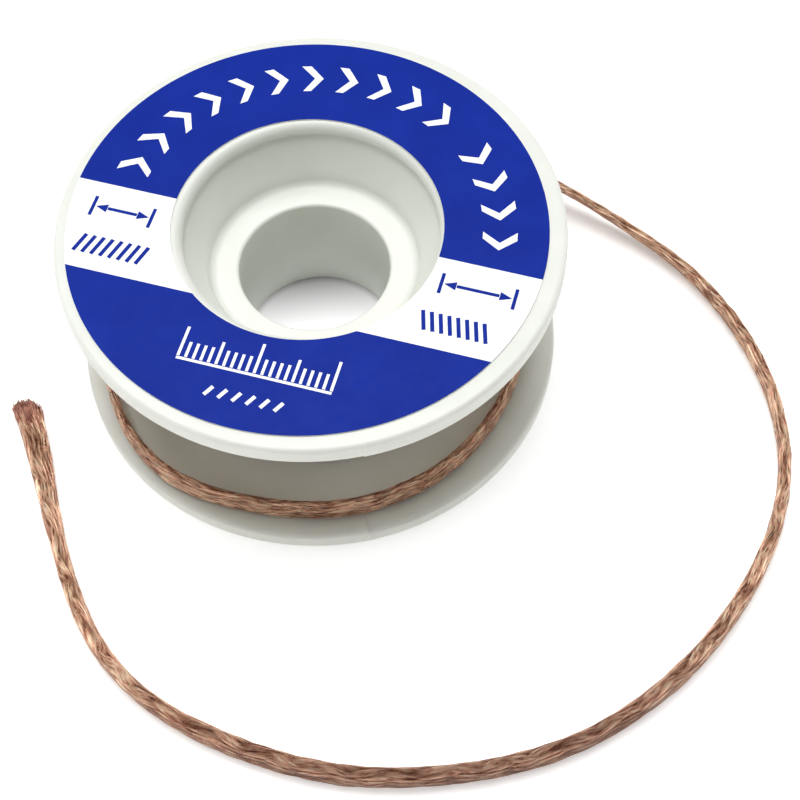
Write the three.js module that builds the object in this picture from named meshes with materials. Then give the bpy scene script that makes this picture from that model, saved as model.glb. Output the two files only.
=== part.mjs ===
// A bobbin of desoldering braid: one white moulding with two flanges and a hollow hub, a printed
// ring label on its top, flat copper braid wound on the hub, and the braid's free length, which
// makes one loose turn inside the groove, leaves at the back and lies on the bench.
// Millimetres, +Z up. The origin is on the bobbin's axis, in the plane of its resting face.

import * as THREE from "three";

// Bobbin
const flangeRadius = 22.3;
const flangeThickness = 1.95;
const bobbinHeight = 17.7;
const hubRadius = 11.9; // the surface that the braid is wound on
const rimRounding = 0.4; // radius of the flanges' outer edges
const hubFillet = 0.5; // where the flanges meet the hub

// Recess in the top face
const recessMouthRadius = 12.0; // where the rounded bead leaves the flat face
const beadWidth = 0.8; // how far the bead reaches in from the mouth
const beadDepth = 1.0;
const beadUndercut = 0.25; // step back under the bead
const recessDepth = 5.8;
const recessTaper = 2.0; // how much nearer the axis the wall is at the ledge
const recessFillet = 0.8; // between the wall and the ledge

// Tube down the middle
const boreRadius = 6.8; // at the ledge, the narrow end
const boreDraft = 0.25; // how much wider it is at the resting face
const boreRounding = 0.3;
const tubeWall = 1.3;

// Hollow under the ledge, open below
const hollowWall = 1.5; // of the hub
const ledgeThickness = 1.5;

// Label
const labelRadius = 21.0;
const labelThickness = 0.15;
const labelHoleRadius = 11.9;
const labelShift = [-0.3, 0.15]; // how far off centre it was stuck on
const adhesiveGap = 0.03; // between the label and the flange

// Braid
const braidWidth = 2.5;
const braidThickness = 1.0; // where it is slack
const woundLayers = 3;
const woundLayerThickness = 0.9; // from one layer to the next
const tracksPerLayer = Math.floor(
  (bobbinHeight - 2 * (flangeThickness + hubFillet)) / braidWidth,
); // turns side by side in one layer
const woundClearance = 0.15; // from the hub to the winding
const lengthPerStep = 5.5; // of the free braid's tube

// Frayed end of the braid
const tipLength = 4.5;
const tipFlare = 0.7; // how much wider the cut end is than the braid
const tipThickness = 1.2;
const benchGap = 0.05; // under the tip
const jointGap = 0.3;

// How finely round shapes are made
const roundSegments = 72;
const filletSteps = 3;

const white = new THREE.Color(0.9, 0.92, 0.89);
const blue = new THREE.Color(0.02, 0.06, 0.4);
const copper = new THREE.Color(0.72, 0.36, 0.24);

// Points of an arc about (x, y) from one angle to another, in degrees.
function arc(x, y, radiusX, radiusY, from, to, steps = filletSteps) {
  const points = [];
  for (let i = 0; i <= steps; i += 1) {
    const angle = THREE.MathUtils.degToRad(from + ((to - from) * i) / steps);
    points.push(new THREE.Vector2(x + radiusX * Math.cos(angle), y + radiusY * Math.sin(angle)));
  }
  return points;
}

// A closed ring turned from a profile of (radius, height) points, listed anticlockwise.
function turned(points) {
  return new THREE.LatheGeometry([...points, points[0].clone()], roundSegments);
}

function named(name, geometry, color, roughness, metalness = 0) {
  const material = new THREE.MeshStandardMaterial({ color, roughness, metalness });
  const mesh = new THREE.Mesh(geometry, material);
  mesh.name = name;
  return mesh;
}

// LatheGeometry turns its profile about Y; the bobbin's axis is Z.
function upright(mesh) {
  mesh.rotation.x = Math.PI / 2;
  return mesh;
}

// The moulding: flanges, hub, recess, ledge, tube and the hollow below the ledge.
function makeBobbin() {
  const top = bobbinHeight;
  const ledge = top - recessDepth;
  const grooveFloor = flangeThickness;
  const grooveRoof = top - flangeThickness;
  const throat = recessMouthRadius - beadWidth;
  const wallTop = throat + beadUndercut;
  const wallFoot = wallTop - recessTaper;
  const underLedge = ledge - ledgeThickness;
  const hollowOuter = hubRadius - hollowWall;
  const hollowInner = boreRadius + boreDraft + tubeWall;
  const rimCentre = flangeRadius - rimRounding;
  const filletCentre = hubRadius + hubFillet;
  const profile = [
    // resting face, from the hollow's mouth out to the rim
    new THREE.Vector2(hollowOuter, 0),
    ...arc(rimCentre, rimRounding, rimRounding, rimRounding, -90, 0),
    ...arc(rimCentre, grooveFloor - rimRounding, rimRounding, rimRounding, 0, 90),
    // groove
    ...arc(filletCentre, grooveFloor + hubFillet, hubFillet, hubFillet, -90, -180),
    ...arc(filletCentre, grooveRoof - hubFillet, hubFillet, hubFillet, 180, 90),
    // upper flange
    ...arc(rimCentre, grooveRoof + rimRounding, rimRounding, rimRounding, -90, 0),
    ...arc(rimCentre, top - rimRounding, rimRounding, rimRounding, 0, 90),
    // bead, recess wall and ledge
    ...arc(recessMouthRadius, top - beadDepth, beadWidth, beadDepth, 90, 180, filletSteps + 2),
    new THREE.Vector2(wallTop, top - beadDepth - beadUndercut),
    ...arc(wallFoot - recessFillet, ledge + recessFillet, recessFillet, recessFillet, 0, -90),
    // tube
    ...arc(boreRadius + boreRounding, ledge - boreRounding, boreRounding, boreRounding, 90, 180),
    new THREE.Vector2(boreRadius + boreDraft, 0),
    new THREE.Vector2(hollowInner, 0),
    // hollow
    new THREE.Vector2(hollowInner, underLedge),
    new THREE.Vector2(hollowOuter, underLedge),
  ];
  return upright(named("bobbin", turned(profile), white, 0.45));
}

function makeLabel() {
  const profile = [
    new THREE.Vector2(labelHoleRadius, 0),
    new THREE.Vector2(labelRadius, 0),
    new THREE.Vector2(labelRadius, labelThickness),
    new THREE.Vector2(labelHoleRadius, labelThickness),
  ];
  const label = upright(named("label", turned(profile), blue, 0.35));
  label.position.set(...labelShift, bobbinHeight + adhesiveGap);
  return label;
}

// Radius of the winding's outer surface.
const windingRadius = hubRadius + woundClearance + woundLayers * woundLayerThickness;

// The braid on the hub: the solid that its layers fill, centred in the groove.
function makeWinding() {
  const inner = hubRadius + woundClearance;
  const height = tracksPerLayer * braidWidth;
  const corner = woundLayerThickness / 2;
  const profile = [
    new THREE.Vector2(inner, -height / 2 + hubFillet),
    new THREE.Vector2(inner + hubFillet, -height / 2),
    ...arc(windingRadius - corner, -height / 2 + corner, corner, corner, -90, 0),
    ...arc(windingRadius - corner, height / 2 - corner, corner, corner, 0, 90),
    new THREE.Vector2(inner + hubFillet, height / 2),
    new THREE.Vector2(inner, height / 2 - hubFillet),
  ];
  const winding = upright(named("wound_braid", turned(profile), copper, 0.4, 0.8));
  winding.position.z = bobbinHeight / 2;
  return winding;
}

// The loose turn in the groove, clockwise seen from above. Each point is an angle about the axis
// in degrees, how far out it lies from the winding (0) to the flanges' rim (1), and how far the
// braid's lower edge stands off the bench in flange thicknesses. The first two heights are equal.
const looseTurn = [
  [100, 0.0, 1.282],
  [72, 0.081, 1.282],
  [44, 0.215, 1.179],
  [16, 0.378, 1.128],
  [-10, 0.511, 1.077],
  [-36, 0.563, 1.077],
  [-62, 0.644, 1.077],
  [-88, 0.696, 1.077],
  [-112, 0.719, 1.077],
  [-134, 0.83, 1.077],
  [-156, 0.77, 1.077],
  [-180, 0.659, 1.077],
  [-206, 0.6, 1.077],
  [-232, 0.63, 1.077],
  [-256, 0.704, 1.077],
];

// The tail: over the lower flange's rim, down to the bench and round in front of the bobbin.
// Each point is x and y in flange radii, and the lower edge's height as above.
const tail = [
  [0.5157, 0.8834, 1.103],
  [0.8341, 0.7803, 1.051],
  [1.13, 0.6009, 0.769],
  [1.3812, 0.3991, 0.256],
  [1.5874, 0.1794, 0.026],
  [1.7444, -0.1031, 0],
  [1.8341, -0.417, 0],
  [1.843, -0.7534, 0],
  [1.7578, -1.0628, 0],
  [1.5964, -1.3318, 0],
  [1.3991, -1.5561, 0],
  [1.1704, -1.7399, 0],
  [0.9238, -1.8744, 0],
  [0.6682, -1.9552, 0],
  [0.4126, -1.9865, 0],
  [0.1525, -1.9821, 0],
  [-0.0987, -1.9417, 0],
  [-0.3408, -1.8565, 0],
  [-0.574, -1.7354, 0],
  [-0.7937, -1.5695, 0],
  [-0.9686, -1.3408, 0],
  [-1.0807, -1.0493, 0],
  [-1.1525, -0.7399, 0],
  [-1.2152, -0.4126, 0],
];

// The height of the braid's middle, from its lower edge's height in flange thicknesses.
function middleHeight(rise) {
  return benchGap + rise * flangeThickness + braidWidth / 2;
}

function freePath() {
  const first = windingRadius + jointGap + braidThickness / 2;
  const turn = looseTurn.map(([angle, share, rise]) => {
    const a = THREE.MathUtils.degToRad(angle);
    const radius = THREE.MathUtils.lerp(first, flangeRadius, share);
    return new THREE.Vector3(radius * Math.cos(a), radius * Math.sin(a), middleHeight(rise));
  });
  const rest = tail.map(
    ([x, y, rise]) => new THREE.Vector3(x * flangeRadius, y * flangeRadius, middleHeight(rise)),
  );
  return new THREE.CatmullRomCurve3([...turn, ...rest], false, "centripetal");
}

// A flat eight-sided section. Its first coordinate stands up, its second lies across the bench,
// because the path starts level: three.js then takes Z for the section's first direction.
function braidSection(width, thickness) {
  const w = width / 2;
  const t = thickness / 2;
  const cut = t * 0.6;
  return new THREE.Shape([
    new THREE.Vector2(-w + cut, -t),
    new THREE.Vector2(w - cut, -t),
    new THREE.Vector2(w, -t + cut),
    new THREE.Vector2(w, t - cut),
    new THREE.Vector2(w - cut, t),
    new THREE.Vector2(-w + cut, t),
    new THREE.Vector2(-w, t - cut),
    new THREE.Vector2(-w, -t + cut),
  ]);
}

function makeFreeBraid() {
  const path = freePath();
  const steps = Math.round(path.getLength() / lengthPerStep);
  const section = braidSection(braidWidth, braidThickness);
  const geometry = new THREE.ExtrudeGeometry(section, { steps, extrudePath: path });
  return named("free_braid", geometry, copper, 0.4, 0.8);
}

// The cut end, spread a little wider than the braid and lying flat on the bench.
function makeFrayedTip() {
  const start = braidWidth / 2;
  const end = start + tipFlare / 2;
  const outline = new THREE.Shape([
    new THREE.Vector2(-start, jointGap),
    new THREE.Vector2(start, jointGap),
    new THREE.Vector2(end, tipLength),
    new THREE.Vector2(-end, tipLength),
  ]);
  const geometry = new THREE.ExtrudeGeometry(outline, { depth: tipThickness, bevelEnabled: false });
  const tip = named("frayed_tip", geometry, copper, 0.5, 0.8);
  const path = freePath();
  const heading = path.getTangent(1);
  const pathEnd = path.getPoint(1);
  tip.position.set(pathEnd.x, pathEnd.y, benchGap);
  tip.rotation.z = Math.atan2(heading.y, heading.x) - Math.PI / 2;
  return tip;
}

const bobbinBody = new THREE.Group();
bobbinBody.add(makeBobbin(), makeLabel(), makeWinding());

const freeBody = new THREE.Group();
freeBody.add(makeFreeBraid(), makeFrayedTip());

const object = new THREE.Group();
object.add(bobbinBody, freeBody);

export default object;
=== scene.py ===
"""A bobbin of copper desoldering braid: white moulding, printed ring label, wound and loose braid.

Metres, +Z up, origin on the bobbin's axis in the plane of its resting face.
"""
import math

import bpy
import numpy as np
from mathutils import Matrix, Vector


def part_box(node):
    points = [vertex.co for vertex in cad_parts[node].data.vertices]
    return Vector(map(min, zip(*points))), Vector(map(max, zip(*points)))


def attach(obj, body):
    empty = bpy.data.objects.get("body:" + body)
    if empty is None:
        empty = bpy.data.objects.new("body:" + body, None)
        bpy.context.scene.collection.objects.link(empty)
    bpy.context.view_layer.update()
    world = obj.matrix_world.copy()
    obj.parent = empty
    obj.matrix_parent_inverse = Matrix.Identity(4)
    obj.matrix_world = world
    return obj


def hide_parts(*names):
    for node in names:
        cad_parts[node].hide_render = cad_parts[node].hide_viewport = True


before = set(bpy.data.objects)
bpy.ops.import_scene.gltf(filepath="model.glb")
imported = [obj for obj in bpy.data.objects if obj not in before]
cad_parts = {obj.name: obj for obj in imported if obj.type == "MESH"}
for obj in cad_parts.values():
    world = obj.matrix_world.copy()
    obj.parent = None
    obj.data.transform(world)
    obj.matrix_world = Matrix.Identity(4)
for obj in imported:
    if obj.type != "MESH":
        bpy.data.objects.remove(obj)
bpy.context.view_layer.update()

MM = 0.001

# Bobbin, as in the design
flange_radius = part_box("bobbin")[1].x / MM
bobbin_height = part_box("bobbin")[1].z / MM
flange_thickness = 1.95
hub_radius = 11.9
rim_rounding = 0.4
hub_fillet = 0.5
mouth_radius = 12.0
bead_width = 0.8
bead_depth = 1.0
bead_undercut = 0.25
bead_edge = 0.12
recess_depth = 5.8
recess_taper = 2.0
recess_fillet = 0.8
bore_radius = 6.8
bore_draft = 0.25
bore_rounding = 0.3
tube_wall = 1.3
hollow_wall = 1.5
ledge_thickness = 1.5
hidden_rounding = 0.2  # of the edges underneath

# Where the two halves of the mould met on the flanges' rims
parting_angle = math.radians(-83.5)
parting_step = 0.14  # how far one half of the mould sat off the other
parting_blur = 0.006  # angle over which the step runs
flash_height = 0.05
flash_spread = 0.004  # half angle of the ridge between the halves

# Label
label_outer = (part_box("label")[1].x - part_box("label")[0].x) / 2 / MM
label_inner = 11.9
label_middle = (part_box("label")[1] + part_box("label")[0]) / 2 / MM  # it was stuck on off centre
label_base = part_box("label")[0].z / MM
label_turn = math.radians(-21.75)  # how the label was stuck on
paper_thickness = 0.08
ink_thickness = 0.02
band_top = -0.3  # the white band's edges, from the label's middle
band_bottom = -9.45
bold_stroke = 0.34  # width of the dashes

# Braid
braid_width = 2.4
loose_width = 2.6
slack_thickness = 1.5
tight_thickness = 0.88
wound_thickness = 0.78
layer_pitch = 0.9
track_pitch = 2.5
tracks = 5
layers = 3
wound_clearance = 0.15
strands = 12  # bundles of wires running each way round the braid
strand_lay = 30.0  # length in which a bundle goes once round
wires_per_strand = 7
crown_height = 0.09
weave_height = 0.05
unevenness = 0.03  # how much one bundle stands above another
relief_reach = crown_height + weave_height + unevenness
section_power = 2.6  # how square the flattened section is
bench_allowance = 0.07  # a squarish section reaches lower than a round one


# ---------------------------------------------------------------- camera

def make_camera():
    """A 69.75 mm lens on a 36 mm sensor, at `place`, looking at `aim` on the bench, rolled a little."""
    place = Vector((-0.15, -81.9, 125.7)) * MM
    aim = Vector((6.78, -7.83, 0.0)) * MM
    roll = math.radians(0.96)
    camera = bpy.data.objects.new("camera", bpy.data.cameras.new("camera"))
    camera.data.lens = 69.75
    camera.data.sensor_width = 36
    camera.data.clip_start = 0.01
    camera.data.clip_end = 10
    turn = (aim - place).to_track_quat("-Z", "Y").to_matrix().to_4x4()
    camera.matrix_world = Matrix.Translation(place) @ turn @ Matrix.Rotation(-roll, 4, "Z")
    bpy.context.collection.objects.link(camera)
    bpy.context.scene.camera = camera


# ---------------------------------------------------------------- mesh helpers

def add_mesh(name, vertices, faces, caps=(), smooth=True):
    """A mesh object from arrays of corners in metres, four-cornered faces, and end caps if any."""
    mesh = bpy.data.meshes.new(name)
    corners = np.asarray(faces).tolist() + [cap.tolist() for cap in caps]
    mesh.from_pydata(np.asarray(vertices).tolist(), [], corners)
    mesh.polygons.foreach_set("use_smooth", np.full(len(mesh.polygons), smooth))
    mesh.update()
    piece = bpy.data.objects.new(name, mesh)
    bpy.context.collection.objects.link(piece)
    return piece


def grid_faces(rows, columns, close_rows=False, close_columns=False):
    """Four-cornered faces of a grid of points numbered row by row, as an array."""
    r = np.arange(rows if close_rows else rows - 1)
    c = np.arange(columns if close_columns else columns - 1)
    r, c = np.meshgrid(r, c, indexing="ij")
    r_next = (r + 1) % rows
    c_next = (c + 1) % columns
    corners = [r * columns + c, r * columns + c_next, r_next * columns + c_next, r_next * columns + c]
    return np.stack([corner.ravel() for corner in corners], axis=1)


def smooth_noise(count, step, seed, reach=1.0):
    """Seeded random numbers `step` samples apart, joined by a cosine curve, from -reach to reach."""
    knots = np.random.default_rng(seed).uniform(-reach, reach, count // step + 3)
    place = np.arange(count) / step
    low = place.astype(int)
    blend = 0.5 - 0.5 * np.cos(np.pi * (place - low))
    return knots[low] * (1 - blend) + knots[low + 1] * blend


def eased(x):
    """0 below 0, 1 above 1, and a smooth S between."""
    x = np.clip(x, 0, 1)
    return x * x * (3 - 2 * x)


def change(along, start, reach):
    """0 up to the start, 1 from `reach` beyond it, and a smooth S between."""
    return eased((along - start) / reach)


# ---------------------------------------------------------------- bobbin

def arc(x, z, radius_x, radius_z, start, end, steps):
    """Points of an ellipse's arc about (x, z), from one angle to another, in degrees."""
    angle = np.radians(np.linspace(start, end, steps + 1))
    return np.stack([x + radius_x * np.cos(angle), z + radius_z * np.sin(angle)], axis=1)


def line(start, end, steps):
    """Points between two ends of a straight stretch, without the ends."""
    share = np.linspace(0, 1, steps + 1)[1:-1, None]
    return np.array([start]) * (1 - share) + np.array([end]) * share


def bobbin_profile():
    """The moulding's half section as (radius, height), anticlockwise from the resting face."""
    top = bobbin_height
    ledge = top - recess_depth
    floor = flange_thickness
    roof = top - flange_thickness
    bead_foot = top - bead_depth - bead_undercut
    wall_top = mouth_radius - bead_width + bead_undercut
    wall_foot = wall_top - recess_taper
    hollow_outer = hub_radius - hollow_wall
    hollow_inner = bore_radius + bore_draft + tube_wall
    under_ledge = ledge - ledge_thickness
    rim = flange_radius - rim_rounding
    corner = hub_radius + hub_fillet
    small = hidden_rounding
    parts = [
        arc(hollow_outer + small, small, small, small, 180, 270, 4),
        line((hollow_outer + small, 0), (rim, 0), 10),
        arc(rim, rim_rounding, rim_rounding, rim_rounding, -90, 0, 6),
        line((flange_radius, rim_rounding), (flange_radius, floor - rim_rounding), 4),
        arc(rim, floor - rim_rounding, rim_rounding, rim_rounding, 0, 90, 6),
        line((rim, floor), (corner, floor), 10),
        arc(corner, floor + hub_fillet, hub_fillet, hub_fillet, -90, -180, 5),
        arc(corner, roof - hub_fillet, hub_fillet, hub_fillet, 180, 90, 5),
        line((corner, roof), (rim, roof), 10),
        arc(rim, roof + rim_rounding, rim_rounding, rim_rounding, -90, 0, 6),
        line((flange_radius, roof + rim_rounding), (flange_radius, top - rim_rounding), 4),
        arc(rim, top - rim_rounding, rim_rounding, rim_rounding, 0, 90, 6),
        line((rim, top), (mouth_radius, top), 10),
        arc(mouth_radius, top - bead_depth, bead_width, bead_depth, 90, 180, 12),
        arc(wall_top - bead_edge, bead_foot, bead_edge, bead_edge, 45, 0, 3),
        line((wall_top, bead_foot), (wall_foot, ledge + recess_fillet), 6),
        arc(wall_foot - recess_fillet, ledge + recess_fillet, recess_fillet, recess_fillet, 0, -90, 8),
        arc(bore_radius + bore_rounding, ledge - bore_rounding, bore_rounding, bore_rounding, 90, 180, 6),
        arc(bore_radius + bore_draft + small, small, small, small, 180, 270, 4),
        arc(hollow_inner - small, small, small, small, -90, 0, 4),
        arc(hollow_inner + small, under_ledge - small, small, small, 180, 90, 4),
        arc(hollow_outer - small, under_ledge - small, small, small, 90, 0, 4),
    ]
    return np.concatenate(parts)


def make_bobbin():
    """The section turned about the axis: point (angle, place on the section).

    Next to the mould's parting line the turning steps are close together. The rims carry a thin
    ridge there, and the groove's edges sit a little lower on one side of it than on the other.
    """
    half_turn = math.pi
    even = np.linspace(-half_turn, half_turn, 288, endpoint=False)
    fine = np.linspace(-0.02, 0.02, 21)
    angles = np.unique(np.concatenate([even, parting_angle + fine, parting_angle + half_turn + fine]))
    radius, height = bobbin_profile().T
    angle, radius = np.meshgrid(angles, radius, indexing="ij")
    height = np.broadcast_to(height, angle.shape).copy()
    from_parting = (angle - parting_angle + half_turn) % (2 * half_turn) - half_turn
    from_second = (from_parting + 2 * half_turn) % (2 * half_turn) - half_turn
    ridge = np.exp(-(from_parting / flash_spread) ** 2) + np.exp(-(from_second / flash_spread) ** 2)
    on_rim = eased((radius - flange_radius + rim_rounding) / rim_rounding)
    radius = radius + flash_height * ridge * on_rim
    one_half = eased(from_parting / parting_blur + 0.5) * eased(-from_second / parting_blur + 0.5)
    kept = 1.0  # this near the resting face or the top, heights stay as they are
    in_groove = np.abs(height - bobbin_height / 2) < bobbin_height / 2 - kept
    near_rim = change(radius, flange_radius - 1.6, 1.2)
    height = height - parting_step * one_half * in_groove * near_rim
    points = np.stack([radius * np.cos(angle), radius * np.sin(angle), height], axis=2) * MM
    faces = grid_faces(*angle.shape, close_rows=True, close_columns=True)
    piece = add_mesh("bobbin_moulding", points.reshape(-1, 3), faces)
    piece.data.materials.append(white_plastic())
    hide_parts("bobbin")
    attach(piece, "bobbin_body")


# ---------------------------------------------------------------- label

def on_label(x, y):
    """A place on the label, in its own axes, turned the way that the label was stuck on."""
    c, s = math.cos(label_turn), math.sin(label_turn)
    return label_middle.x + x * c - y * s, label_middle.y + x * s + y * c


def slab(x, y, low, high):
    """A thin closed layer over a grid of plan places (x, y), as its corners and its faces."""
    rows, columns = x.shape
    x, y = on_label(x, y)
    under = np.stack([x, y, np.full_like(x, low)], axis=2).reshape(-1, 3)
    over = np.stack([x, y, np.full_like(x, high)], axis=2).reshape(-1, 3)
    top = grid_faces(rows, columns)
    count = rows * columns
    ring = np.concatenate([
        np.arange(columns),
        np.arange(1, rows) * columns + columns - 1,
        (rows - 1) * columns + np.arange(columns - 2, -1, -1),
        np.arange(rows - 2, 0, -1) * columns,
    ])
    following = np.roll(ring, -1)
    side = np.stack([ring, following, following + count, ring + count], axis=1)
    faces = np.concatenate([top[:, ::-1], top + count, side])
    a, b, c = under[0], under[1], under[columns]
    if np.cross(b - a, c - a)[2] < 0:
        faces = faces[:, ::-1]
    return np.concatenate([under, over]) * MM, faces


def joined(name, shapes, material):
    """Several printed shapes made one piece, riding with the bobbin."""
    points, faces = zip(*shapes)
    firsts = np.cumsum([0] + [len(group) for group in points[:-1]])
    faces = [group + first for group, first in zip(faces, firsts)]
    whole = add_mesh(name, np.concatenate(points), np.concatenate(faces), smooth=False)
    whole.data.materials.append(material)
    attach(whole, "bobbin_body")
    return whole


def ring_part(inner, outer, start, end, low, high, steps=180):
    """A slab between two radii and two angles; start and end may be functions of the radius."""
    radius = np.linspace(inner, outer, 25)
    first = start(radius) if callable(start) else np.full_like(radius, start)
    last = end(radius) if callable(end) else np.full_like(radius, end)
    share = np.linspace(0, 1, steps + 1)[:, None]
    angle = first * (1 - share) + last * share
    return slab(radius * np.cos(angle), radius * np.sin(angle), low, high)


def bar(x0, y0, x1, y1, width, low, high):
    """A straight printed stroke between two places on the label."""
    along = np.array([x1 - x0, y1 - y0])
    across = np.array([-along[1], along[0]]) / np.linalg.norm(along) * width / 2
    x = np.array([[x0 - across[0], x1 - across[0]], [x0 + across[0], x1 + across[0]]])
    y = np.array([[y0 - across[1], y1 - across[1]], [y0 + across[1], y1 + across[1]]])
    return slab(x, y, low, high)


def band_edge(height):
    """The angle, on the right of the label, of a level edge `height` above its middle, by radius."""
    return lambda radius: np.arcsin(height / radius)


def make_label():
    """The paper, two blue fields with a white band between them, and the printed marks."""
    paper_top = label_base + paper_thickness
    ink_top = paper_top + ink_thickness
    print_top = ink_top + ink_thickness
    blue = label_blue()
    white = label_white()
    paper = ring_part(label_inner, label_outer, 0, 2 * math.pi, label_base, paper_top, 240)
    paper = joined("label_paper", [paper], white)
    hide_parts("label")
    upper, lower = band_edge(band_top), band_edge(band_bottom)
    above = ring_part(label_inner, label_outer, upper, lambda r: np.pi - upper(r), paper_top, ink_top)
    below = ring_part(
        label_inner, label_outer, lambda r: np.pi - lower(r), lambda r: 2 * np.pi + lower(r),
        paper_top, ink_top,
    )
    joined("label_blue_print", [above, below], blue)
    joined("label_white_marks", white_marks(ink_top, print_top), white)
    joined("label_blue_marks", blue_marks(paper_top, ink_top), blue)


def chevron(angle, low, high):
    """An arrowhead that points round the label: a stroke bent where its radius is the middle one."""
    middle = 16.75
    half_height = 1.5
    point = 1.15
    stroke = 0.8
    rise = np.array([-1.0, 0.0, 1.0])[:, None]
    across = np.array([-0.5, 0.5])[None, :]
    radius = middle + half_height * rise
    turned = angle + (point * (np.abs(rise) - 0.5) + stroke * across) / middle
    return slab(radius * np.cos(turned), radius * np.sin(turned), low, high)


def white_marks(low, high):
    """Arrowheads round the arc in two groups, and a graduated rule over dashes on the lower panel."""
    fine_stroke = 0.26
    rule = -15.8
    dashes = -18.6
    marks = []
    for angle in [*np.linspace(172, 61, 11), *np.linspace(42, 9, 4)]:
        marks.append(chevron(math.radians(angle), low, high))
    marks.append(bar(-6.4, rule, 7.0, rule, fine_stroke, low, high))
    for k in range(21):
        x = -6.3 + 0.66 * k
        foot = rule + 0.2
        tall = 2.9 if k % 10 == 0 else 2.2 if k % 5 == 0 else 1.5
        marks.append(bar(x, foot, x, foot + tall, fine_stroke, low, high))
    for k in range(6):
        x = -3.0 + 1.2 * k
        marks.append(bar(x, dashes, x + 0.5, dashes + 0.9, bold_stroke, low, high))
    return marks


def point_mark(x, y, way, low, high):
    """A small filled arrowhead with its point at (x, y)."""
    length = 1.0
    half_width = 0.42
    blunt = 0.02
    back = x - way * length
    plan_x = np.array([[x, x], [back, back]])
    plan_y = np.array([[y - blunt, y + blunt], [y - half_width, y + half_width]])
    return slab(plan_x, plan_y, low, high)


def measured(x0, x1, y, low, high):
    """A dimension line: a stroke with a filled arrowhead and an end mark at each end."""
    gap = 0.3
    stroke = 0.3
    inset = 1.05  # the stroke stops just behind the arrowheads' points
    half_mark = 1.05
    left, right = x0 - gap, x1 + gap
    return [
        bar(left, y - half_mark, left, y + half_mark, stroke, low, high),
        point_mark(x0, y, -1, low, high),
        bar(x0 + inset, y, x1 - inset, y, stroke, low, high),
        point_mark(x1, y, 1, low, high),
        bar(right, y - half_mark, right, y + half_mark, stroke, low, high),
    ]


def blue_marks(low, high):
    """A dimension line over a row of slanting strokes, short on the left panel, longer on the right."""
    line_height = -2.9
    dashes = -6.9
    half_dash = 0.95
    marks = [*measured(-18.4, -13.6, line_height, low, high), *measured(13.1, 18.9, line_height, low, high)]
    for x0, x1, lean in ((-18.4, -12.7, 0.55), (12.3, 17.6, -0.55)):
        for x in np.linspace(x0, x1, 8):
            foot, head = (x - lean / 2, dashes - half_dash), (x + lean / 2, dashes + half_dash)
            marks.append(bar(*foot, *head, bold_stroke, low, high))
    return marks


# ---------------------------------------------------------------- braid

def even_curve(points, spacing):
    """A natural cubic spline through the points by chord length, resampled at even spacing."""
    points = np.asarray(points, float)
    chord = np.concatenate([[0], np.cumsum(np.linalg.norm(np.diff(points, axis=0), axis=1))])
    gap = np.diff(chord)
    count = len(points)
    matrix = np.eye(count)
    known = np.zeros((count, 3))
    inner = np.arange(1, count - 1)
    matrix[inner, inner - 1] = gap[:-1]
    matrix[inner, inner] = 2 * (gap[:-1] + gap[1:])
    matrix[inner, inner + 1] = gap[1:]
    slope = np.diff(points, axis=0) / gap[:, None]
    known[inner] = 6 * np.diff(slope, axis=0)
    bend = np.linalg.solve(matrix, known)
    at = np.linspace(0, chord[-1], 8 * int(chord[-1] / spacing))
    k = np.clip(np.searchsorted(chord, at, side="right") - 1, 0, count - 2)
    left, right, h = (at - chord[k])[:, None], (chord[k + 1] - at)[:, None], gap[k][:, None]
    curve = (
        (bend[k] * right**3 + bend[k + 1] * left**3) / (6 * h)
        + (points[k] / h - bend[k] * h / 6) * right
        + (points[k + 1] / h - bend[k + 1] * h / 6) * left
    )
    length = np.concatenate([[0], np.cumsum(np.linalg.norm(np.diff(curve, axis=0), axis=1))])
    even = np.linspace(0, length[-1], int(length[-1] / spacing) + 1)
    return np.stack([np.interp(even, length, curve[:, k]) for k in range(3)], axis=1)


def flat_section(count):
    """A flattened round (a superellipse) of width and thickness 1, its points evenly spaced."""
    usual_thickness = 0.8
    angle = np.linspace(0, 2 * np.pi, 4001)
    x = np.sign(np.cos(angle)) * np.abs(np.cos(angle)) ** (2 / section_power) / 2
    y = np.sign(np.sin(angle)) * np.abs(np.sin(angle)) ** (2 / section_power) / 2
    steps = np.hypot(np.diff(x * braid_width), np.diff(y * usual_thickness))
    length = np.concatenate([[0], np.cumsum(steps)])
    even = np.linspace(0, length[-1], count, endpoint=False)
    return np.interp(even, length, x), np.interp(even, length, y)


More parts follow.
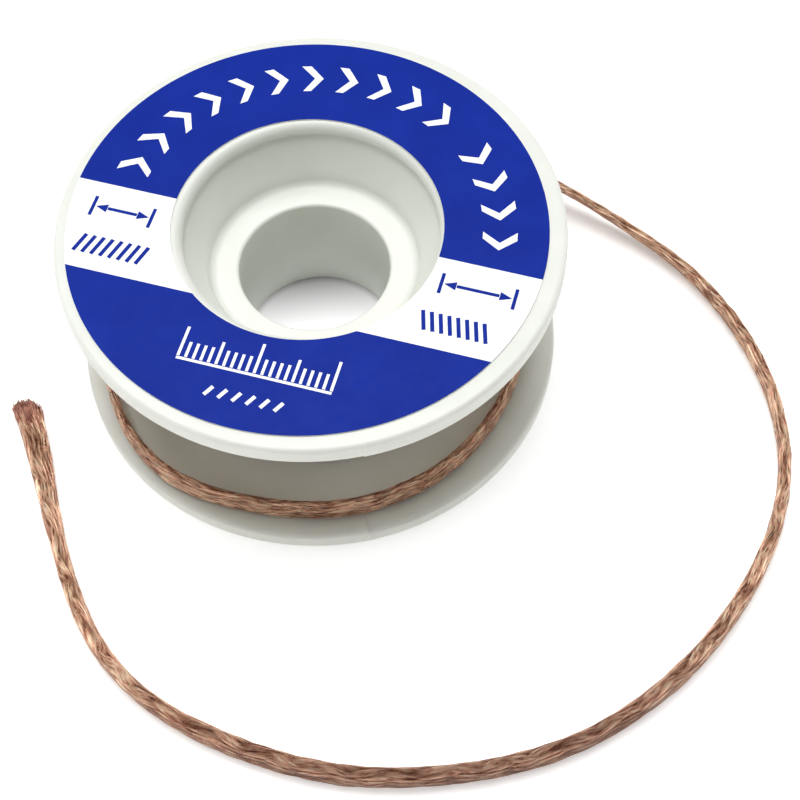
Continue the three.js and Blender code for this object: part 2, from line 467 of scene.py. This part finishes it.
def weave(round_share, along, seed):
    """Relief of two sets of bundles, each passing over two of the other set and under two.

    a and b number the bundles of the two sets; a bundle is where its number stays the same. Its
    crown is round across the bundle, and it rises and falls as a cosine of the other number. Each
    bundle also stands a little high or low, by its own slow wave.
    Returns the height in millimetres, which set lies on top, and the two numbers.
    """
    rows = along.shape[0]
    step = float(along[1, 0] - along[0, 0])
    stray = 0.4  # how far a bundle wanders, in bundles
    sharpness = 3.6  # 4 would bring the crowns down to nothing at the bundles' edges
    wander = smooth_noise(rows, int(7 / step), seed)[:, None]
    other = smooth_noise(rows, int(5 / step), seed + 1)[:, None]
    a = strands * (round_share + along / strand_lay) + stray * wander
    b = strands * (round_share - along / strand_lay) + stray * other
    nearest_a, nearest_b = np.round(a), np.round(b)
    rise_a = np.cos(np.pi / 2 * (b - nearest_a) - np.pi / 4)
    rise_b = -np.cos(np.pi / 2 * (nearest_b - a) - np.pi / 4)
    own_a = np.sin(1.7 * (nearest_a % strands) ** 2 + 0.9 * along + 3 * wander)
    own_b = np.sin(2.3 * (nearest_b % strands) ** 2 - 0.8 * along + 3 * other)
    crown_a = np.sqrt(1 - sharpness * (a - nearest_a) ** 2)
    crown_b = np.sqrt(1 - sharpness * (b - nearest_b) ** 2)
    height_a = crown_height * crown_a + weave_height * rise_a + unevenness * own_a
    height_b = crown_height * crown_b + weave_height * rise_b + unevenness * own_b
    height = np.maximum(height_a, height_b)
    return height, (height_a > height_b).astype(float), a, b


def braid_piece(name, path, width, thickness, twist, around, seed, material):
    """A flat woven tube: a section of `around` points carried along the path.

    Each ring stands on its width, leaning by twist, with the weave's relief along its normal.
    Two attributes carry the weave to the material: which set is on top, and the relief's height;
    the UV map holds the bundles' numbers.
    """
    rows = len(path)
    tangent = np.gradient(path, axis=0)
    tangent /= np.linalg.norm(tangent, axis=1, keepdims=True)
    up = np.array([0, 0, 1.0]) - tangent * tangent[:, 2:]
    up /= np.linalg.norm(up, axis=1, keepdims=True)
    side = np.cross(up, tangent)
    wide = np.cos(twist)[:, None] * up + np.sin(twist)[:, None] * side
    thin = -np.sin(twist)[:, None] * up + np.cos(twist)[:, None] * side
    steps = np.concatenate([[0], np.cumsum(np.linalg.norm(np.diff(path, axis=0), axis=1))])
    share = np.arange(around + 1) / around
    height, over, a, b = weave(share[None, :], steps[:, None], seed)
    x, y = flat_section(around)
    x = x[None, :] * width[:, None]
    y = y[None, :] * thickness[:, None]
    dx = np.roll(x, -1, axis=1) - np.roll(x, 1, axis=1)
    dy = np.roll(y, -1, axis=1) - np.roll(y, 1, axis=1)
    size = np.hypot(dx, dy)
    lift = height[:, :around] - relief_reach
    x = x + lift * dy / size
    y = y - lift * dx / size
    points = path[:, None] + x[:, :, None] * wide[:, None] + y[:, :, None] * thin[:, None]
    faces = grid_faces(rows, around, close_columns=True)
    ends = [np.arange(around), np.arange(around)[::-1] + (rows - 1) * around]
    piece = add_mesh(name, points.reshape(-1, 3) * MM, faces, ends)
    mesh = piece.data
    for label, values in (("on_top", over), ("relief", height / relief_reach)):
        layer = mesh.attributes.new(label, "FLOAT", "POINT")
        layer.data.foreach_set("value", values[:, :around].ravel().astype(np.float32))
    r, c = np.divmod(np.arange(len(faces)), around)
    corner_rows = np.stack([r, r, r + 1, r + 1], axis=1).ravel()
    corner_columns = np.stack([c, c + 1, c + 1, c], axis=1).ravel()
    numbers = np.stack([a[corner_rows, corner_columns], b[corner_rows, corner_columns]], axis=1)
    numbers = np.concatenate([numbers, np.zeros((2 * around, 2))])
    mesh.uv_layers.new(name="bundles").data.foreach_set("uv", numbers.ravel().astype(np.float32))
    mesh.materials.append(material)
    return piece


def wound_path(turns, first_layer, first_track, spacing):
    """Turns laid side by side, clockwise seen from above, each level until it steps to the next.

    The angle falls evenly. Over the last tenth of a turn the height and radius ease to the next
    track's, and at a layer's last track to the next layer's. Odd layers go down, even ones up.
    """
    flat_share = 0.9  # of a turn
    order = [
        (layer, track if layer % 2 else tracks - 1 - track)
        for layer in range(first_layer, layers + 1)
        for track in range(first_track if layer == first_layer else 0, tracks)
    ]
    layer, track = np.array(order + [order[-1]], float).T
    top = bobbin_height / 2 + (tracks - 1) / 2 * track_pitch
    heights = top - track * track_pitch
    radii = hub_radius + wound_clearance + layer_pitch * (layer - 0.5)
    count = int(turns * 2 * math.pi * (hub_radius + 1.5) / spacing)
    turn = np.linspace(0, turns, count)
    k = np.minimum(turn.astype(int), len(order) - 1)
    step = eased((turn - k - flat_share) / 0.1)
    radius = radii[k] * (1 - step) + radii[k + 1] * step
    z = heights[k] * (1 - step) + heights[k + 1] * step
    z = z + 0.06 * smooth_noise(count, int(9 / spacing), first_layer + 40)
    angle = math.radians(100) - 2 * math.pi * turn
    return np.stack([radius * np.cos(angle), radius * np.sin(angle), z], axis=1)


loose_turn = [
    (100, 15.55, 3.8), (72, 16.1, 3.8), (44, 17.0, 3.6), (16, 18.1, 3.5), (-10, 19.0, 3.4),
    (-36, 19.35, 3.4), (-62, 19.9, 3.4), (-88, 20.25, 3.4), (-112, 20.4, 3.4), (-134, 21.15, 3.4),
    (-156, 20.75, 3.4), (-180, 20.0, 3.4), (-206, 19.6, 3.4), (-232, 19.8, 3.4), (-256, 20.3, 3.4),
]
tail = [
    (11.5, 19.7, 3.45), (18.6, 17.4, 3.35), (25.2, 13.4, 2.8), (30.8, 8.9, 1.8), (35.4, 4.0, 1.35),
    (38.9, -2.3, 1.3), (40.9, -9.3, 1.3), (41.1, -16.8, 1.3), (39.2, -23.7, 1.3), (35.6, -29.7, 1.3),
    (31.2, -34.7, 1.3), (26.1, -38.8, 1.3), (20.6, -41.8, 1.3), (14.9, -43.6, 1.3), (9.2, -44.3, 1.3),
    (3.4, -44.2, 1.3), (-2.2, -43.3, 1.3), (-7.6, -41.4, 1.3), (-12.8, -38.7, 1.3),
    (-17.7, -35.0, 1.3), (-21.6, -29.9, 1.3), (-24.1, -23.4, 1.3), (-25.7, -16.5, 1.3),
    (-27.1, -9.2, 1.3),
]
lift_off = [(140, 15.25, 3.85), (122, 15.35, 3.85)]  # where the braid lies against the winding


def make_wound_braid():
    """Two hidden layers, plain and coarse, and the outer layer, a little uneven."""
    copper = copper_braid()
    inner_turns = 9.2
    path = wound_path(inner_turns, 1, 0, 0.6)
    count = len(path)
    inner = braid_piece(
        "wound_inner_layers", path, np.full(count, braid_width), np.full(count, wound_thickness),
        np.zeros(count), 32, 11, copper,
    )
    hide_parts("wound_braid")
    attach(inner, "bobbin_body")
    path = wound_path(tracks, layers, 0, 0.42)
    count = len(path)
    width = braid_width + 0.06 * smooth_noise(count, 30, 21)
    outer = braid_piece(
        "wound_outer_layer", path, width, np.full(count, wound_thickness),
        0.05 * smooth_noise(count, 50, 22), 80, 23, copper,
    )
    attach(outer, "bobbin_body")


def path_length(path):
    """Length in metres of a line given in millimetres."""
    return float(np.linalg.norm(np.diff(path, axis=0), axis=1).sum() * MM)


def make_free_braid():
    """The loose turn and the tail: on edge, leaning to the axis, and turning over near the cut end.

    Lengths are from the start of the loose turn, or from the cut end. The braid slackens where it
    has left the groove, and from there its lowest point follows the bench.
    """
    turn = [
        (r * math.cos(math.radians(angle)), r * math.sin(math.radians(angle)), z)
        for angle, r, z in [*lift_off, *loose_turn]
    ]
    path = even_curve([*turn, *tail, (-27.9, -5.9, 1.3)], 0.31)
    count = len(path)
    along = np.linspace(0, path_length(path) / MM, count)
    to_end = along - along[-1]
    slack = change(along, 160, 70)
    width = loose_width - 0.2 * slack + 0.08 * smooth_noise(count, 26, 31)
    width = width - 0.3 * change(to_end, -30, 15) + 0.35 * change(to_end, -11, 10)
    thickness = tight_thickness + (slack_thickness - tight_thickness) * slack
    thickness = thickness + 0.06 * smooth_noise(count, 34, 32)
    lean = 0.07 + 0.4 * change(along, 108, 25) - 0.47 * change(along, 162, 30)
    twist = 0.12 * smooth_noise(count, 60, 33) * slack - lean
    twist = twist + math.radians(62) * change(to_end, -16, 15)
    half_height = 0.5 * np.hypot(width * np.cos(twist), thickness * np.sin(twist))
    on_bench = change(along, 165, 20)
    path[:, 2] = path[:, 2] * (1 - on_bench) + (half_height + bench_allowance) * on_bench
    piece = braid_piece("loose_braid", path, width, thickness, twist, 96, 34, copper_braid())
    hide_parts("free_braid")
    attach(piece, "braid_body")
    wires = make_frayed_wires(path, twist[-1], width[-1], thickness[-1])


def make_frayed_wires(path, twist, width, thickness):
    """The cut wires: thin four-sided tubes that leave the braid's end, bunch and curl a little.

    Each starts at its own place in the braid's section, runs on along it, and bends away as the
    square of the distance, by its own amount and at its own heading.
    """
    count = 420
    rings = 7
    wire_radius = 0.05
    tip_radius = 0.03
    lowest = 0.09
    chance = np.random.default_rng(5)
    end = path[-1]
    ahead = path[-1] - path[-6]
    ahead = ahead / np.linalg.norm(ahead)
    up = np.array([0, 0, 1.0])
    side = np.cross(up, ahead)
    wide = math.cos(twist) * up + math.sin(twist) * side
    thin = math.cos(twist) * side - math.sin(twist) * up
    turn = chance.uniform(0, 2 * np.pi, count)
    out = np.sqrt(chance.uniform(0.05, 1, count)) * 0.94
    x = out * np.cos(turn) * width / 2
    y = out * np.sin(turn) * thickness / 2
    start = -chance.uniform(0.5, 2.2, count)
    length = chance.uniform(0.75, 1.55, count) * np.sqrt(1.15 - out**2) - start
    share = np.linspace(0, 1, rings)
    run = start[:, None] + length[:, None] * share
    swell = np.sin(np.pi * share**1.5)
    bend = share**2
    x = x[:, None] * (1 + 0.12 * swell) + chance.normal(0, 0.13, count)[:, None] * bend
    y = y[:, None] * (1 + 0.25 * swell) + chance.normal(0, 0.11, count)[:, None] * bend
    middle = end + run[..., None] * ahead + x[..., None] * wide + y[..., None] * thin
    middle[..., 2] = np.maximum(middle[..., 2], lowest)
    radius = np.full(rings, wire_radius)
    radius[-1] = tip_radius
    corner = np.radians([0, 90, 180, 270])
    ring = np.cos(corner)[:, None] * wide + np.sin(corner)[:, None] * thin
    points = middle[:, :, None] + radius[None, :, None, None] * ring[None, None]
    last = (rings - 1) * 4
    block = np.concatenate([grid_faces(rings, 4, close_columns=True), [[3, 2, 1, 0]], [[0, 1, 2, 3]]])
    block[-1] += last
    faces = (block[None] + np.arange(count)[:, None, None] * rings * 4).reshape(-1, 4)
    piece = add_mesh("frayed_wires", points.reshape(-1, 3) * MM, faces)
    piece.data.materials.append(copper_ends())
    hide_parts("frayed_tip")
    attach(piece, "braid_body")
    return piece


# ---------------------------------------------------------------- materials

def new_material(name):
    """A material with nodes: itself, its nodes, its links and its shader."""
    material = bpy.data.materials.new(name)
    material.use_nodes = True
    nodes = material.node_tree.nodes
    return material, nodes, material.node_tree.links, nodes["Principled BSDF"]


def grey(value):
    """A grey's three parts, also used for a plain number on a ramp."""
    return (value, value, value)


def object_place(nodes):
    """The point's place in metres, which turns with its piece."""
    return nodes.new("ShaderNodeTexCoord").outputs["Object"]


def parts_of_place(nodes, links, place):
    """The X, Y and Z parts of a place, as sockets."""
    split = nodes.new("ShaderNodeSeparateXYZ")
    links.new(place, split.inputs["Vector"])
    return split.outputs


def noise(nodes, links, vector, scale, detail, roughness=0.5):
    """Cloudy noise, `scale` clouds to the metre."""
    texture = nodes.new("ShaderNodeTexNoise")
    texture.inputs["Scale"].default_value = scale
    texture.inputs["Detail"].default_value = detail
    texture.inputs["Roughness"].default_value = roughness
    links.new(vector, texture.inputs["Vector"])
    return texture.outputs["Fac"]


def ramp(nodes, links, value, stops):
    """A colour ramp through (place, colour) stops."""
    node = nodes.new("ShaderNodeValToRGB")
    elements = node.color_ramp.elements
    while len(elements) < len(stops):
        elements.new(0.5)
    for element, (place, colour) in zip(elements, stops):
        element.position = place
        element.color = (*colour, 1)
    links.new(value, node.inputs["Fac"])
    return node.outputs["Color"]


def math_node(nodes, links, operation, *values):
    """Arithmetic on numbers and sockets."""
    node = nodes.new("ShaderNodeMath")
    node.operation = operation
    for socket, value in zip(node.inputs, values):
        if isinstance(value, (int, float)):
            socket.default_value = value
        else:
            links.new(value, socket)
    return node.outputs[0]


def bump(nodes, links, shader, height, strength, distance):
    """Small relief in the shading, `distance` metres high."""
    node = nodes.new("ShaderNodeBump")
    node.inputs["Strength"].default_value = strength
    node.inputs["Distance"].default_value = distance
    links.new(height, node.inputs["Height"])
    links.new(node.outputs["Normal"], shader.inputs["Normal"])


def mixed(nodes, links, factor, first, second, kind="RGBA", blend="MIX"):
    """Two colours or two numbers blended by a factor."""
    node = nodes.new("ShaderNodeMix")
    node.data_type = kind
    node.blend_type = blend
    sockets = (node.inputs["Factor"], node.inputs["A"], node.inputs["B"])
    for socket, value in zip(sockets, (factor, first, second)):
        if isinstance(value, tuple):
            socket.default_value = (*value, 1)
        elif isinstance(value, float):
            socket.default_value = value
        else:
            links.new(value, socket)
    return node.outputs["Result"]


def white_plastic():
    """Soft white polyethylene: faint flow marks, a fine skin, and the odd speck of dirt."""
    material, nodes, links, shader = new_material("white_polyethylene")
    shader.inputs["Subsurface Weight"].default_value = 0.25
    shader.inputs["Subsurface Radius"].default_value = (1.0, 0.95, 0.85)
    shader.inputs["Subsurface Scale"].default_value = 0.0012
    shader.inputs["IOR"].default_value = 1.51
    place = object_place(nodes)
    flow = noise(nodes, links, place, scale=190, detail=4)
    body = ramp(nodes, links, flow, [(0.3, (0.765, 0.785, 0.725)), (0.7, (0.805, 0.82, 0.77))])
    cells = nodes.new("ShaderNodeTexVoronoi")
    cells.inputs["Scale"].default_value = 210
    links.new(place, cells.inputs["Vector"])
    speck_reach = 0.026
    near = math_node(nodes, links, "LESS_THAN", cells.outputs["Distance"], speck_reach)
    split = nodes.new("ShaderNodeSeparateColor")
    links.new(cells.outputs["Color"], split.inputs["Color"])
    clean_share = 0.9  # of the cells
    rare = math_node(nodes, links, "GREATER_THAN", split.outputs["Red"], clean_share)
    speck = math_node(nodes, links, "MULTIPLY", near, rare)
    links.new(mixed(nodes, links, speck, body, (0.16, 0.15, 0.13)), shader.inputs["Base Color"])
    uneven = noise(nodes, links, place, scale=420, detail=3)
    gloss = ramp(nodes, links, uneven, [(0.3, grey(0.34)), (0.7, grey(0.46))])
    links.new(gloss, shader.inputs["Roughness"])
    skin = noise(nodes, links, place, scale=2600, detail=2)
    bump(nodes, links, shader, skin, 0.12, 0.00003)
    return material


def satin_print(name, light, dark, roughness, shine):
    """A printed vinyl face: nearly even colour, satin, with a faint orange-peel skin."""
    material, nodes, links, shader = new_material(name)
    shader.inputs["Specular IOR Level"].default_value = shine
    place = object_place(nodes)
    cloud = noise(nodes, links, place, scale=260, detail=4)
    colour = ramp(nodes, links, cloud, [(0.35, dark), (0.65, light)])
    links.new(colour, shader.inputs["Base Color"])
    worn = noise(nodes, links, place, scale=900, detail=3)
    gloss = ramp(nodes, links, worn, [(0.3, grey(roughness - 0.04)), (0.7, grey(roughness + 0.05))])
    links.new(gloss, shader.inputs["Roughness"])
    skin = noise(nodes, links, place, scale=1500, detail=2)
    bump(nodes, links, shader, skin, 0.06, 0.00002)
    return material


def label_blue():
    """The blue ink."""
    return satin_print("label_blue_ink", (0.006, 0.034, 0.34), (0.005, 0.029, 0.31), 0.45, 0.12)


def label_white():
    """The label's own white, and the white marks."""
    return satin_print("label_white_vinyl", (0.95, 0.955, 0.945), (0.92, 0.93, 0.92), 0.42, 0.4)


def attribute(nodes, name):
    """A number that the mesh carries at its points."""
    node = nodes.new("ShaderNodeAttribute")
    node.attribute_name = name
    return node.outputs["Fac"]


def copper_braid():
    """Bare copper wires: each wire its own tint with painted glints, and painted shade in the gaps between
    bundles.

    A bundle's number times the wires in a bundle is a wire's number, and its cosine is the wires'
    ridges. The tint is noise along the wire, begun at a place of its own for each whole number.
    The set that lies on top gives both. The bend farthest in front of the bobbin is darker, a painted
    shade.
    """
    if "bare_copper_wires" in bpy.data.materials:
        return bpy.data.materials["bare_copper_wires"]
    material, nodes, links, shader = new_material("bare_copper_wires")
    shader.inputs["Metallic"].default_value = 0.6
    numbers = nodes.new("ShaderNodeUVMap")
    numbers.uv_map = "bundles"
    bundles = parts_of_place(nodes, links, numbers.outputs["UV"])
    on_top = attribute(nodes, "on_top")
    relief = attribute(nodes, "relief")
    tints, ridges = [], []
    apart = 7.31  # between one wire's place in the noise and the next wire's
    for axis, across, offset in (("X", "Y", 0.3), ("Y", "X", 41.7)):
        wire = math_node(nodes, links, "MULTIPLY", bundles[axis], wires_per_strand)
        whole = math_node(nodes, links, "ROUND", wire)
        along = math_node(nodes, links, "MULTIPLY_ADD", whole, apart, bundles[across])
        drawn_out = nodes.new("ShaderNodeTexNoise")
        drawn_out.noise_dimensions = "1D"
        drawn_out.inputs["Scale"].default_value = 0.8
        drawn_out.inputs["Detail"].default_value = 3
        links.new(math_node(nodes, links, "ADD", along, offset), drawn_out.inputs["W"])
        tints.append(drawn_out.outputs["Fac"])
        ridge = math_node(nodes, links, "MULTIPLY", wire, 2 * math.pi)
        ridges.append(math_node(nodes, links, "COSINE", ridge))
    tint = mixed(nodes, links, on_top, tints[1], tints[0], kind="FLOAT")
    ridge = mixed(nodes, links, on_top, ridges[1], ridges[0], kind="FLOAT")
    place = object_place(nodes)
    patch = noise(nodes, links, place, scale=450, detail=3, roughness=0.6)
    shade = math_node(nodes, links, "MULTIPLY_ADD", patch, 0.3, tint)
    # Painted highlight: the wires' ridges also lighten the colour on each crest and darken it between
    # wires.
    shade = math_node(nodes, links, "MULTIPLY_ADD", ridge, 0.09, shade)
    shade = math_node(nodes, links, "MULTIPLY", shade, 0.76)
    # The ramp's two top stops are painted highlights over the wires' own random tint.
    brown = (0.18, 0.075, 0.05)
    copper = (0.82, 0.42, 0.28)
    bright = (1.0, 0.7, 0.5)
    painted_glint = (1.0, 0.86, 0.64)
    unshaded_copper = ramp(nodes, links, shade, [(0.37, brown), (0.46, copper), (0.54, bright), (0.61, painted_glint)])
    # Painted shade: the copper darkens towards the front of the bobbin, where the bend gets less light.
    ahead = math_node(nodes, links, "MULTIPLY", parts_of_place(nodes, links, place)["Y"], -20)
    front_shade = ramp(nodes, links, ahead, [(0.6, grey(0.0)), (0.86, grey(0.6))])
    colour = mixed(nodes, links, front_shade, unshaded_copper, (0.30, 0.155, 0.115))
    # Painted shade: the colour darkens where the relief is low, in the gaps between bundles.
    shaded = [(0.3, (0.3, 0.2, 0.17)), (0.55, (0.72, 0.66, 0.63)), (0.8, grey(1.0))]
    colour = mixed(nodes, links, 1.0, colour, ramp(nodes, links, relief, shaded), blend="MULTIPLY")
    links.new(colour, shader.inputs["Base Color"])
    gloss = ramp(nodes, links, patch, [(0.3, grey(0.24)), (0.7, grey(0.42))])
    links.new(gloss, shader.inputs["Roughness"])
    bump(nodes, links, shader, ridge, 0.8, 0.00003)
    return material


def copper_ends():
    """The cut wires' ends: duller and redder copper."""
    material, nodes, links, shader = new_material("tarnished_copper_wires")
    shader.inputs["Metallic"].default_value = 0.6
    place = object_place(nodes)
    patch = noise(nodes, links, place, scale=900, detail=4, roughness=0.6)
    colour = ramp(nodes, links, patch, [(0.3, (0.2, 0.075, 0.055)), (0.7, (0.72, 0.40, 0.31))])
    links.new(colour, shader.inputs["Base Color"])
    gloss = ramp(nodes, links, patch, [(0.3, grey(0.35)), (0.7, grey(0.55))])
    links.new(gloss, shader.inputs["Roughness"])
    return material


# ---------------------------------------------------------------- stage

def make_stage():
    """A white bench, a broad light overhead, a low one on each side, and an even white surround.

    Painted shade: the bench is darker under and close round the bobbin. Painted light: it glows a little
    elsewhere, more in front of the bobbin than behind and more far away, and a soft patch of it glows in
    the bore.
    """
    reach = 2.0
    corners = [(-reach, -reach, 0), (reach, -reach, 0), (reach, reach, 0), (-reach, reach, 0)]
    bench = add_mesh("bench", corners, [(0, 1, 2, 3)], smooth=False)
    material, nodes, links, shader = new_material("bench_white")
    shader.inputs["Roughness"].default_value = 0.9
    shader.inputs["Specular IOR Level"].default_value = 0.1
    place = object_place(nodes)
    length = nodes.new("ShaderNodeVectorMath")
    length.operation = "LENGTH"
    links.new(place, length.inputs[0])
    distance = length.outputs["Value"]
    near, forward = 20, -12  # the ramps below run over 50 mm out, and 83 mm from back to front
    out = math_node(nodes, links, "MULTIPLY", distance, near)
    # Painted shade: the bench darkens under the bobbin and close round it.
    under_bobbin_shade = ramp(nodes, links, out, [(0.14, grey(0.22)), (0.3, grey(0.95))])
    links.new(under_bobbin_shade, shader.inputs["Base Color"])
    depth = parts_of_place(nodes, links, place)["Y"]
    # Painted light: the bench glows, though it is no lamp, more in front of the bobbin than behind, lifting
    # the shadow there, and more far away.
    ahead = math_node(nodes, links, "MULTIPLY_ADD", depth, forward, 0.5)
    glow = ramp(nodes, links, ahead, [(0.4, grey(0.18)), (0.75, grey(0.33))])
    clear = ramp(nodes, links, out, [(0.28, grey(0.0)), (0.46, grey(1.0))])
    inside = ramp(nodes, links, out, [(0.13, grey(1.0)), (0.16, grey(0.0))])
    # Painted light: a soft pool of glow on the bench inside the bore, lighting the bore's wall.
    bore_glow = ramp(nodes, links, ahead, [
        (0.41, grey(0.1)), (0.485, grey(0.75)), (0.497, grey(0.8)), (0.51, grey(0.0)),
    ])
    bore_glow = math_node(nodes, links, "MULTIPLY", bore_glow, inside)
    glow = math_node(nodes, links, "MULTIPLY", glow, clear)
    far_glow = ramp(nodes, links, distance, [(0.2, grey(0.0)), (0.9, grey(1.0))])
    glow = math_node(nodes, links, "ADD", glow, bore_glow)
    links.new(math_node(nodes, links, "ADD", glow, far_glow), shader.inputs["Emission Strength"])
    shader.inputs["Emission Color"].default_value = (1, 1, 1, 1)
    bench.data.materials.append(material)
    world = bpy.data.worlds.new("surround")
    world.use_nodes = True
    background = world.node_tree.nodes["Background"]
    background.inputs["Color"].default_value = (1.0, 1.0, 1.0, 1)
    background.inputs["Strength"].default_value = 0.27
    bpy.context.scene.world = world
    add_light("overhead", (-0.03, 0.14, 0.56), 0.42, 2.4)
    add_light("left", (-0.45, -0.05, 0.16), 0.3, 0.3)
    add_light("right", (0.42, 0.15, 0.2), 0.3, 0.2)
    bpy.context.scene.view_settings.view_transform = "Standard"
    bpy.context.scene.view_settings.look = "Medium High Contrast"


def add_light(name, place, size, power):
    """A square area light that faces the bobbin, its size in metres and its power in watts."""
    light = bpy.data.lights.new(name, "AREA")
    light.shape = "SQUARE"
    light.size = size
    light.energy = power
    lamp = bpy.data.objects.new(name, light)
    lamp.location = place
    lamp.rotation_euler = (Vector((0, 0, 0.01)) - Vector(place)).to_track_quat("-Z", "Y").to_euler()
    bpy.context.collection.objects.link(lamp)


make_camera()
make_wound_braid()
make_free_braid()
make_bobbin()
make_label()
make_stage()
